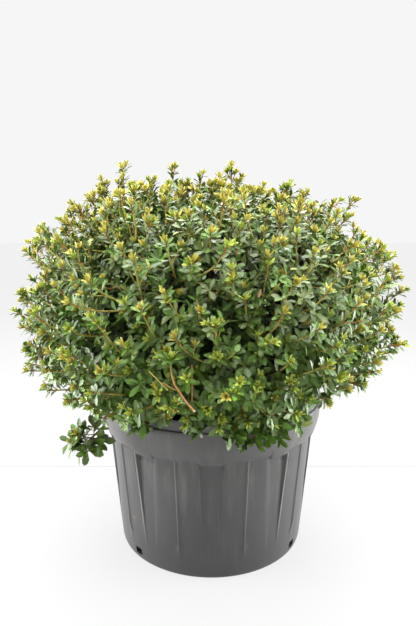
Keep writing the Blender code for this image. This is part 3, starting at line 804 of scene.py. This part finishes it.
# leaves and shoots, gathered first and made into joined pieces afterwards
leaf = {
    "length": 0.0285,
    "width": 0.0115,
    # (place along the blade, share of its width)
    "outline": ((0.0, 0.0), (0.24, 0.42), (0.60, 1.0), (0.86, 0.72), (1.0, 0.0)),
    "innerOutline": ((0.0, 0.0), (0.60, 1.0), (1.0, 0.0)),
    "turn": math.radians(137.5),  # from one leaf to the next along a shoot
    "opening": (82, 36, 12),    # degrees off the shoot, how much less at its tip, how uneven
    "lift": (-0.05, 0.18),
    "lengths": (0.78, 1.16),
    "tipShorter": 0.22,
    "widths": (0.82, 1.15),
    "slender": 0.12,            # how much narrower the leaves are near the crown's top
    "sideTilt": 0.25,
    "droops": (0.02, 0.24),
    "folds": (0.10, 0.45),
    # colours in the shade, in the light and along the midrib
    "tones": {
        # inner: darker copies, painted shade for the leaves inside the crown
        "inner": ((0.034, 0.066, 0.014), (0.053, 0.102, 0.020), (0.060, 0.114, 0.023)),
        # deep green, also used for painted shade low down; below it a greyer green, a painted sheen high up
        "deep": ((0.052, 0.101, 0.014), (0.078, 0.141, 0.020), (0.128, 0.200, 0.037)),
        "dull": ((0.104, 0.148, 0.042), (0.149, 0.197, 0.057), (0.208, 0.268, 0.078)),
        "green": ((0.070, 0.146, 0.016), (0.104, 0.200, 0.023), (0.170, 0.274, 0.043)),
        "fresh": ((0.092, 0.205, 0.024), (0.146, 0.280, 0.034), (0.220, 0.370, 0.066)),
        "pale": ((0.260, 0.335, 0.075), (0.340, 0.420, 0.105), (0.430, 0.500, 0.150)),
        "red": ((0.120, 0.050, 0.024), (0.200, 0.095, 0.044), (0.260, 0.150, 0.070)),
    },
    "deepShare": 0.28,
    "paintedShadeLower": 0.26,          # more of them low down, as painted shade
    # painted sheen: the share of greyer leaves high up
    "paintedSheenHigher": 0.42,
    "greenUpTo": 0.90,
    "paleShare": (0.15, 0.30),  # of the rest, low down and what is added high up
}
# the broad leaves that stand in a ring under a shoot's tip
ring = {
    "count": 5,
    "opening": (50, 84),
    "uneven": (-0.2, 0.2),
    "lengths": (0.72, 1.10),
    "widths": (0.80, 1.08),
    "droops": (0.04, 0.22),
    "folds": (0.10, 0.35),
}
# the narrow young leaves of a rosette
young = {
    "length": 0.0154,
    "slimness": 0.32,           # width as a share of the length
    "outline": ((0.0, 0.42), (0.52, 1.0), (0.84, 0.62), (1.0, 0.0)),
    "outerCount": (5, 8),
    "innerCount": 5,
    "outerOpening": (28, 54),
    "innerOpening": (5, 22),
    "innerLength": 0.82,
    "lengths": (0.78, 1.20),
    "cups": (-0.25, 0.0),
    "fold": 0.5,
    "lemonShare": (0.24, 0.62),  # low down, and what is added high up
    # colours at the root, in the middle and at the tip
    "tones": {
        "lemon": ((0.420, 0.180, 0.030), (0.470, 0.420, 0.062), (0.620, 0.590, 0.180)),
        "lime": ((0.330, 0.240, 0.038), (0.350, 0.430, 0.054), (0.540, 0.600, 0.145)),
    },
}
wood = {
    # name, colours from dark to pale, scale of the fibres
    "tones": {
        "brown": ("twigBrown", (0.070, 0.042, 0.024), (0.140, 0.085, 0.048), (0.230, 0.150, 0.085), 220.0),
        "olive": ("shootOlive", (0.300, 0.245, 0.050), (0.420, 0.355, 0.080), (0.520, 0.460, 0.130), 260.0),
        "cut": ("cutWood", (0.260, 0.120, 0.042), (0.390, 0.198, 0.072), (0.490, 0.300, 0.125), 300.0),
        "rust": ("shootRust", (0.300, 0.120, 0.032), (0.420, 0.190, 0.050), (0.520, 0.270, 0.080), 260.0),
        "cream": ("creamWood", (0.480, 0.380, 0.250), (0.620, 0.520, 0.360), (0.700, 0.610, 0.450), 300.0),
    },
    "branch": (0.0030, 0.0018),  # radii at the foot and at the tip
    "twiglet": (0.0013, 0.0009),
    "leader": (0.0022, 0.0014),
    "body": (0.0016, 0.0011),
    "tip": (0.0013, 0.0010),
    "bare": (0.0011, 0.0010),
    "fresh": (0.0014, 0.0010),
    "rustyTips": 0.22,
}
leafLots = {"inner": [], "deep": [], "dull": [], "green": [], "fresh": [], "pale": [], "red": []}
youngLots = {"lemon": [], "lime": []}
woodLots = {"brown": [], "olive": [], "rust": [], "cut": []}


def bladePart(tree, axis):
    # X runs along a blade from 0 to 1 and Y across it, with 0.5 on its midrib
    layer = step(tree, "UVMap", uv_map="bladeMap")
    return step(tree, "SeparateXYZ", {0: layer.outputs["UV"]}).outputs[axis]


def leafSurface(name, shade, light, rib):
    surface, tree, shader = newSurface(name, 0.42, 0.46)
    shader.inputs["Coat Weight"].default_value = 0.17
    shader.inputs["Coat Roughness"].default_value = 0.30
    where = placeOn(tree)
    patch = ramp(tree, grain(tree, where, 70.0, 3.0), [(0.35, shade), (0.65, light)])
    midrib = [(0.40, (0, 0, 0)), (0.50, (0.55, 0.55, 0.55)), (0.60, (0, 0, 0))]
    ribbed = ramp(tree, bladePart(tree, "Y"), midrib)
    tree.links.new(blend(tree, ribbed, patch, rib), shader.inputs["Base Color"])
    relief(tree, shader, grain(tree, where, 520.0, 2.0), 0.18, 0.0008)
    return surface


def youngSurface(name, root, middle, tip):
    # rusty at the root and palest at the tip
    surface, tree, shader = newSurface(name, 0.50, 0.4)
    tone = ramp(tree, bladePart(tree, "X"), [(0.10, root), (0.42, middle), (0.76, middle), (1.0, tip)])
    patch = spread(tree, grain(tree, placeOn(tree), 60.0, 3.0), 0.35, 0.65, 0.0, 0.30)
    tree.links.new(blend(tree, patch, tone, tip), shader.inputs["Base Color"])
    return surface


def bladeMesh(name, outline):
    # a blade along X, with its place along and across kept as UV
    bm = bmesh.new()
    bmesh.ops.create_grid(bm, x_segments=len(outline) - 1, y_segments=2, size=0.5)
    layer = bm.loops.layers.uv.new("bladeMap")
    columns = sorted({round(vert.co.x, 4) for vert in bm.verts})
    for face in bm.faces:
        for loop in face.loops:
            share = outline[columns.index(round(loop.vert.co.x, 4))][0]
            loop[layer].uv = (share, loop.vert.co.y + 0.5)
    for vert in bm.verts:
        share, breadth = outline[columns.index(round(vert.co.x, 4))]
        vert.co = Vector((share, vert.co.y * breadth, 0))
    bmesh.ops.remove_doubles(bm, verts=bm.verts, dist=1e-4)
    return toMesh(bm, name)


def addBlade(rows, root, along, up, length, width, droop, fold):
    rows.append((*root, *along, *up, length, width, droop, fold))


def addWood(lot, line, radii):
    woodLots[lot].append((line, taper(*radii, len(line))))


def sideOf(run, turn):
    return Matrix.Rotation(turn, 3, run) @ run.orthogonal().normalized()


def leaning(run, turn, opening):
    # a way that leans off a shoot by so many degrees
    opening = math.radians(opening)
    return run * math.cos(opening) + sideOf(run, turn) * math.sin(opening)


def leafLot(rng, elevation):
    # a share of the leaves is deep green everywhere, and more low down as painted shade; the upper ones are
    # often a greyer green, a painted sheen; the rest are plain green, pale or fresh
    high = smoothStep(-5, 45, elevation)
    pick = rng.random()
    deep = leaf["deepShare"] + leaf["paintedShadeLower"] * (1 - high)
    if pick < deep:
        return "deep"
    if pick < deep + leaf["paintedSheenHigher"] * high:
        return "dull"
    if pick < leaf["greenUpTo"]:
        return "green"
    share, more = leaf["paleShare"]
    return "pale" if rng.random() < share + more * high else "fresh"


def leafyLine(line, rng, count, fromShare, elevation, size=1.0, lot=None, clear=clearOfTub, crowding=0.6):
    # leaves in a spiral round the outer part of a shoot, closer together and smaller towards its tip
    spin = rng.uniform(0, math.tau)
    width = leaf["width"] * (1 - leaf["slender"] * smoothStep(20, 50, elevation)) * size
    wide, less, uneven = leaf["opening"]
    tilt = leaf["sideTilt"]
    for k in range(count):
        share = fromShare + (1 - fromShare) * ((k + 0.5) / count) ** crowding
        root, run = pointOn(line, share)
        opening = wide - less * share + rng.uniform(-uneven, uneven)
        along = leaning(run, spin + leaf["turn"] * k, opening)
        along = (along + Vector((0, 0, rng.uniform(*leaf["lift"])))).normalized()
        shorter = 1.0 - leaf["tipShorter"] * share * share
        length = leaf["length"] * size * rng.uniform(*leaf["lengths"]) * shorter
        if not clear(root + along * length, 0.002):
            continue
        up = run * 0.8 + Vector((rng.uniform(-tilt, tilt), rng.uniform(-tilt, tilt), 0.45))
        breadth = width * rng.uniform(*leaf["widths"]) * (length / leaf["length"] / size) ** 0.5
        rows = leafLots[lot or leafLot(rng, elevation)]
        addBlade(rows, root, along, up, length, breadth,
                 rng.uniform(*leaf["droops"]), rng.uniform(*leaf["folds"]))


def whorl(tip, run, rng, size, lot):
    # a ring of broad leaves that open outwards just below a shoot's tip
    spin = rng.uniform(0, math.tau)
    lot = "green" if lot == "pale" else lot
    for k in range(ring["count"]):
        opening = rng.uniform(*ring["opening"])
        along = leaning(run, spin + math.tau * (k + rng.uniform(*ring["uneven"])) / ring["count"], opening)
        length = leaf["length"] * size * rng.uniform(*ring["lengths"])
        if clearOfTub(tip + along * length, 0.002):
            width = leaf["width"] * size * rng.uniform(*ring["widths"])
            addBlade(leafLots[lot], tip, along, run, length, width,
                     rng.uniform(*ring["droops"]), rng.uniform(*ring["folds"]))


def rosette(tip, run, rng, elevation, size=1.0):
    # a cup of narrow young leaves: a few spreading ones round an upright tuft
    share, more = young["lemonShare"]
    colour = "lemon" if rng.random() < share + more * smoothStep(-15, 35, elevation) else "lime"
    spin = rng.uniform(0, math.tau)
    outerCount = rng.randint(*young["outerCount"])
    for k in range(outerCount + young["innerCount"]):
        outer = k < outerCount
        opening = rng.uniform(*young["outerOpening" if outer else "innerOpening"])
        along = leaning(run, spin + leaf["turn"] * k, opening)
        length = young["length"] * (1.0 if outer else young["innerLength"]) * size
        length *= rng.uniform(*young["lengths"])
        addBlade(youngLots[colour], tip, along, run, length, length * young["slimness"],
                 rng.uniform(*young["cups"]), young["fold"])


# short shoots beside a longer one: where they stand on it, how far they lean out, their lengths and leaves
sideShoots = {
    "nearTip": ((0.80, 0.94), (0.45, 0.80), (0.012, 0.024), 3),
    "lower": ((0.35, 0.70), (0.70, 1.10), (0.026, 0.046), 7),
    "body": ((0.40, 0.85), (0.70, 1.10), (0.022, 0.042), 7),
    "rim": ((0.55, 0.90), (0.80, 1.30), (0.016, 0.030), 6),
}


def beside(line, rng, places, leans):
    # a spot on a line and a direction that leans out from it there
    base, along = pointOn(line, rng.uniform(*places))
    side = along + sideOf(along, rng.uniform(0, math.tau)) * rng.uniform(*leans)
    return base, side.normalized()


def growTip(base, run, length, rng, elevation, leaves, rosetteChance, size=1.0, clear=clearOfTub):
    # a short side shoot with its own leaves, often ending in a rosette
    end = base + run * length + Vector((0, 0, 0.22 * length))
    if not clear(end, 0.006):
        return
    line = arcPoints(base, base + run * length * 0.55, end, 4)
    addWood("rust" if rng.random() < wood["rustyTips"] else "olive", line, wood["tip"])
    leafyLine(line, rng, leaves, 0.15, elevation, size=size, clear=clear)
    if rng.random() < rosetteChance:
        rosette(end, pointOn(line, 1.0)[1], rng, elevation)


def growBeside(line, kind, rng, elevation, rosetteChance, size=1.0):
    places, leans, lengths, leaves = sideShoots[kind]
    base, side = beside(line, rng, places, leans)
    growTip(base, side, rng.uniform(*lengths), rng, elevation, leaves, rosetteChance, size)


# the upright shoots that stand out of the leafy body
leader = {
    "directions": 600,          # spread over a whole sphere
    "height": (0.91, 1.00),     # of their tips, as a share of the outline
    "upturn": (0.35, 1.20),     # how far the tip turns up low down and high up
    "run": (0.090, 0.125),      # how long the shoot's own run is
    "size": (1.06, 0.20),       # of the leaves low down, and how much less it is high up
    "leaves": ((6, 0.25, 1.0), (4, 0.74, 0.92)),  # how many, from where on, their size
    "crowding": 0.9,
    "ring": (0.94, 0.85),       # where the ring of leaves stands, and its size
    "rosettes": (0.45, 0.50),   # the share of tips with one low down, and what is added high up
    "rosetteSize": (1.06, 0.10),
    "highFrom": 38,             # degrees
    "highTips": (0, 1, 2, 2, 3, 4),
    "lowTips": (0, 0, 1, 1, 2, 3),
    "lowerShoots": 0.75,
}
# the leafy shoots of the crown's body, seldom with a rosette
body = {
    "directions": 900,
    "height": (0.79, 0.88),
    "upturn": (0.15, 0.60),
    "run": (0.070, 0.100),
    "size": (1.10, 0.15),
    "highFrom": 25,
    "highLeaves": 13,
    "lowLeaves": 10,
    "ringShrink": 0.14,         # how much smaller the ring of leaves is high up
    "rosettes": (0.30, 0.32),
    "rosetteSize": 0.95,
    "tips": (1, 2, 2),
}


def growLeader(line, rng, elevation):
    # bare and olive below, whorled and rusty near its tip
    split = len(line) - 2
    radii = taper(*wood["leader"], len(line))
    woodLots["olive"].append((line[:split + 1], radii[:split + 1]))
    woodLots["rust"].append((line[split:], [radius * 1.02 for radius in radii[split:]]))
    size = leader["size"][0] - leader["size"][1] * smoothStep(-12, 25, elevation)
    for count, start, share in leader["leaves"]:
        leafyLine(line, rng, count, start, elevation, size=size * share, crowding=leader["crowding"])
    place, share = leader["ring"]
    whorl(*pointOn(line, place), rng, size * share, leafLot(rng, elevation))
    chance = leader["rosettes"][0] + leader["rosettes"][1] * smoothStep(-22, 5, elevation)
    if rng.random() < chance + 0.1:
        own, more = leader["rosetteSize"]
        rosette(*pointOn(line, 1.0), rng, elevation, own + more * smoothStep(25, 55, elevation))
    for _ in range(rng.choice(leader["highTips" if elevation > leader["highFrom"] else "lowTips"])):
        growBeside(line, "nearTip", rng, elevation, chance, 0.72)
    if rng.random() < leader["lowerShoots"]:
        growBeside(line, "lower", rng, elevation, chance * 0.4)


def growBodyShoot(line, rng, elevation):
    addWood("brown" if rng.random() < 0.5 else "olive", line, wood["body"])
    size = body["size"][0] - body["size"][1] * smoothStep(-12, 25, elevation)
    leaves = body["highLeaves" if elevation > body["highFrom"] else "lowLeaves"]
    leafyLine(line, rng, leaves, 0.25, elevation, size=size)
    tip, run = pointOn(line, 1.0)
    ringSize = size * (1 - body["ringShrink"] * smoothStep(15, 40, elevation))
    whorl(tip, run, rng, ringSize, leafLot(rng, elevation))
    if rng.random() < body["rosettes"][0] + body["rosettes"][1] * smoothStep(25, 55, elevation):
        rosette(tip, run, rng, elevation - 15, body["rosetteSize"])
    for _ in range(rng.choice(body["tips"])):
        growBeside(line, "body", rng, elevation, 0.12, size)


def shootTo(end, aim, kind, branches, rng):
    # from the nearest branch out to its tip, turning up on the way
    low, high = kind["upturn"]
    upturn = low + (high - low) * smoothStep(-18, 22, elevationOf(aim))
    tipRun = (aim + Vector((0, 0, upturn)) + anySway(rng, 0.07)).normalized()
    wanted = end - tipRun * rng.uniform(*kind["run"])
    branch = min(branches, key=lambda line: (line[-1] - wanted).length)
    spots = [pointOn(branch, share / 8)[0] for share in range(4, 9)]
    start = min(spots, key=lambda spot: (spot - wanted).length)
    # partly straight from the branch, so that no shoot runs in a wide bow
    tipRun = (tipRun + (end - start).normalized() * 0.6).normalized()
    bend = end - tipRun * (end - start).length * 0.45
    return arcPoints(start, bend, end, 8)


def fillInside(branch, rng):
    for _ in range(crown["twiglets"]):
        base, side = beside(branch, rng, (0.10, 1.0), (0.6, 1.6))
        line = arcPoints(base, base + side * 0.024, base + side * 0.044 + Vector((0, 0, 0.012)), 4)
        if clearOfTub(line[-1], 0.006):
            addWood("brown", line, wood["twiglet"])
            # in the darker inner colours, painted shade for the crown's inside
            leafyLine(line, rng, 9, 0.1, 0, size=1.30, lot="inner")


def growMass(own, toward, directions):
    # the mass's stem, its branches, and the shoots that carry the crown's surface
    rng = random.Random(f"azalea {own}")
    eye = crown["eye"]
    limb = boughLine(own, toward)
    run = (limb[-1] - limb[-2]).normalized()
    inner = eye + toward * outlineDistance(toward) * crown["stemReach"]
    core = arcPoints(limb[-1], limb[-1] + run * (inner - limb[-1]).length * 0.5, inner, 6)
    addWood("brown", core, (stem["boughThin"], stem["coreThin"]))
    branches = []
    for ray in evenDirections(crown["twigDirections"]):
        if nearestMass(ray, directions) != own:
            continue
        tilted = (ray + toward * 0.06).normalized()
        end = eye + tilted * reachOf(tilted) * crown["twigEnd"]
        if not clearOfTub(end, 0.010):
            continue
        start, along = pointOn(core, rng.uniform(0.0, 1.0))
        bend = start.lerp(end, 0.5) + along * 0.02 + Vector((0, 0, -0.012))
        branch = arcPoints(start, bend, end, 6)
        branches.append(branch)
        addWood("brown", branch, wood["branch"])
        fillInside(branch, rng)
    for kind, grow in ((body, growBodyShoot), (leader, growLeader)):
        for ray in evenDirections(kind["directions"]):
            if nearestMass(ray, directions) != own:
                continue
            aim = (ray + anySway(rng, crown["aimSway"])).normalized()
            rise = sum(part * noise.noise(aim * scale + Vector((9, 2, 5))) for scale, part in crown["mounds"])
            end = eye + aim * reachOf(aim) * (rng.uniform(*kind["height"]) + rise)
            room = crown["leftRoom"] if end.x < 0 else crown["sideRoom"]
            headroom = (crown["tallest"] - eye.z) / max(end.z - eye.z, 0.001)
            end = eye + (end - eye) * min(1.0, room / abs(end.x), crown["sideRoom"] / abs(end.y), headroom)
            if clearOfTub(end, 0.012):
                grow(shootTo(end, aim, kind, branches, rng), rng, elevationOf(aim))
    return branches


def growPeaks(branches, rng):
    for place in lone["peaks"]:
        end = Vector(place)
        growLeader(shootTo(end, (end - crown["eye"]).normalized(), leader, branches, rng), rng, 60)


def growOverLip(branches, rng):
    # leafy shoots that hang over the tub's lip, each from the nearest branch
    crestRadius, crestHeight = lone["rimCrest"]
    for turn, height in lone["rimTips"]:
        outward = direction(turn, 0)
        end = outward * lone["rimRadius"] + Vector((0, 0, height))
        over = direction(turn + rng.uniform(-6, 6), 0) * crestRadius + Vector((0, 0, crestHeight))
        start = min((line[-1] for line in branches), key=lambda spot: (spot - over).length)
        line = [start, *arcPoints(over.lerp(start, 0.3), over + outward * 0.030, end, 7)]
        addWood("brown", line, wood["body"])
        lot = "green" if rng.random() < 0.75 else "fresh"
        leafyLine(line, rng, 13, 0.30, -20, size=1.40, lot=lot)
        whorl(*pointOn(line, 1.0), rng, 1.15, lot)
        for _ in range(3):
            growBeside(line, "rim", rng, -20, 0.25, 1.25)


def growCutBranch(rng):
    # cut off in the front, with bare stems beside it and leaves only at its upper end
    for start, end, lot in lone["bareStems"]:
        start, end = Vector(start), Vector(end)
        addWood(lot, arcPoints(start, start.lerp(end, 0.5), end, 4), wood["bare"])
    branch, thick = lone["cutBranch"], lone["cutThick"]
    radii = [thick * 0.45, thick * 0.55, *taper(thick * 0.85, thick, len(branch) - 2)]
    woodLots["cut"].append((branch, radii))
    addWood("cut", lone["cutTwig"], (thick * 0.4, thick * 0.5))
    leafyLine(branch[1::-1], rng, 9, 0.05, 0, size=1.0, lot="green")
    whorl(branch[0], Vector((0, -0.4, 0.9)).normalized(), rng, 0.9, "green")
    rosette(branch[0], Vector((0, -0.2, 1)).normalized(), rng, 0, 1.1)


def growFreshShoot(rng):
    line = arcPoints(*lone["freshShoot"], 6)
    addWood("olive", line, wood["fresh"])
    leafyLine(line, rng, 9, 0.25, 0, size=0.95, lot="fresh")
    whorl(*pointOn(line, 1.0), rng, 0.85, "fresh")
    rosette(*pointOn(line, 1.0), rng, -30, 1.1)


def growLoneShoots(branches):
    rng = random.Random("lone shoots")
    growPeaks(branches, rng)
    growOverLip(branches, rng)
    growCutBranch(rng)
    for root, along in lone["redLeaves"]:
        addBlade(leafLots["red"], root, Vector(along).normalized(), (0.1, -0.5, 0.8), *lone["redSize"])
    growFreshShoot(rng)
    print("lone shoots:", len(lone["peaks"]), "peaks and", len(lone["rimTips"]), "over the lip")


def growHangingSpray():
    rng = random.Random("hanging spray")
    drop = (lowBough["foot"] - lowBough["knee"]).normalized()
    start = lowBough["foot"]
    line = [start, *arcPoints(start + drop * 0.010, lowBough["bend"], lowBough["tip"], 9)]
    addWood("brown", line, lowBough["sprayThick"])
    for i in range(lowBough["sprayTwigs"]):
        base, along = pointOn(line, 0.50 + 0.50 * i / (lowBough["sprayTwigs"] - 1))
        angle = i * leaf["turn"]
        outward = Vector((0.85 * math.cos(angle) - 0.42, 0.35 * math.sin(2 * angle) - 0.45,
                          0.80 * math.sin(angle) - 0.25))
        side = (outward.normalized() + along * 0.2).normalized()
        length = rng.uniform(*lowBough["sprayLengths"])
        # at 15 degrees up, so that fewer of its leaves take the painted shade and some take the painted sheen
        growTip(base, side, length, rng, 15, 5, 0.15, lowBough["spraySize"], clearOfCollar)


def makeCreamBits():
    # the cut branch's pale end and one bud
    bm = bmesh.new()
    *_, before, end = lone["cutBranch"]
    run = (end - before).normalized()
    radius = lone["cutThick"] * 1.02
    made = bmesh.ops.create_cone(bm, cap_ends=True, segments=12, radius1=radius, radius2=radius,
                                 depth=0.0024)["verts"]
    turned = Matrix.Translation(end + run * 0.0006) @ run.to_track_quat("Z", "Y").to_matrix().to_4x4()
    bmesh.ops.transform(bm, matrix=turned, verts=made)
    made = bmesh.ops.create_icosphere(bm, subdivisions=2, radius=lone["budSize"])["verts"]
    turned = Matrix.Translation(lone["bud"]) @ Matrix.Rotation(0.6, 4, "Y") @ Matrix.Diagonal((1, 1, 2.0, 1))
    bmesh.ops.transform(bm, matrix=turned, verts=made)
    bits = newPiece("creamBits", toMesh(bm, "creamBits"), barkSurface(*wood["tones"]["cream"]))
    bits.data.shade_smooth()
    bits.data.set_sharp_from_angle(angle=math.radians(40))
    handOver(bits, "bark")


def joinBlades(name, blade, rows, surface):
    # every row becomes a copy of the blade, placed, folded along its midrib and bent down towards its tip
    rest = np.array([vert.co[:] for vert in blade.vertices])
    rows = np.array(rows)
    root, along, up = rows[:, 0:3], rows[:, 3:6], rows[:, 6:9]
    length, width, droop, fold = (rows[:, i:i + 1] for i in range(9, 13))
    x = along / np.linalg.norm(along, axis=1, keepdims=True)
    y = np.cross(up, x)
    y /= np.linalg.norm(y, axis=1, keepdims=True) + 1e-9
    z = np.cross(x, y)
    reach = rest[:, 0] * length
    across = rest[:, 1] * width
    lift = fold * np.abs(across) - droop * rest[:, 0] ** 2 * length
    points = root[:, None] + x[:, None] * reach[..., None] + y[:, None] * across[..., None]
    points += z[:, None] * lift[..., None]
    shapes = [poly.vertices[:] for poly in blade.polygons]
    faces = [tuple(corner + first for corner in shape)
             for first in range(0, len(rows) * len(rest), len(rest)) for shape in shapes]
    mesh = bpy.data.meshes.new(name)
    mesh.from_pydata(points.reshape(-1, 3), [], faces)
    corners = np.array([loop.uv[:] for loop in blade.uv_layers["bladeMap"].data], dtype=np.float32)
    mesh.uv_layers.new(name="bladeMap").data.foreach_set("uv", np.tile(corners, (len(rows), 1)).ravel())
    mesh.shade_smooth()
    return newPiece(name, mesh, surface)


def makeFoliage():
    foliage = [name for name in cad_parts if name.startswith("foliage_")]
    blade = bladeMesh("blade", leaf["outline"])
    plain = bladeMesh("innerBlade", leaf["innerOutline"])
    small = bladeMesh("youngBlade", young["outline"])
    for lot, rows in leafLots.items():
        shape = plain if lot == "inner" else blade
        surface = leafSurface(f"leaf{lot.title()}", *leaf["tones"][lot])
        handOver(joinBlades(f"leaves_{lot}", shape, rows, surface), "foliage", *foliage)
    for lot, rows in youngLots.items():
        surface = youngSurface(f"young{lot.title()}", *young["tones"][lot])
        handOver(joinBlades(f"young_{lot}", small, rows, surface), "foliage", *foliage)
    for shape in (blade, plain, small):
        bpy.data.meshes.remove(shape)
    for lot, limbs in woodLots.items():
        mesh = limbMesh(f"twigs_{lot}", limbs, 2 if lot == "cut" else 0)
        handOver(newPiece(f"twigs_{lot}", mesh, barkSurface(*wood["tones"][lot])), "bark", *foliage)
        print("twigs", lot, len(limbs), "faces", len(mesh.polygons))
    print("leaves:", {lot: len(rows) for lot, rows in {**leafLots, **youngLots}.items()})


# the whole plant
setCamera()
setSky()
layFloor()
hangPanels()
makeTub()
makeSoil()
masses = massDirections()
makeLimbs(masses)
allBranches = []
for massName, massToward in masses.items():
    allBranches += growMass(massName, massToward, masses)
growLoneShoots(allBranches)
growHangingSpray()
makeFoliage()
makeCreamBits()
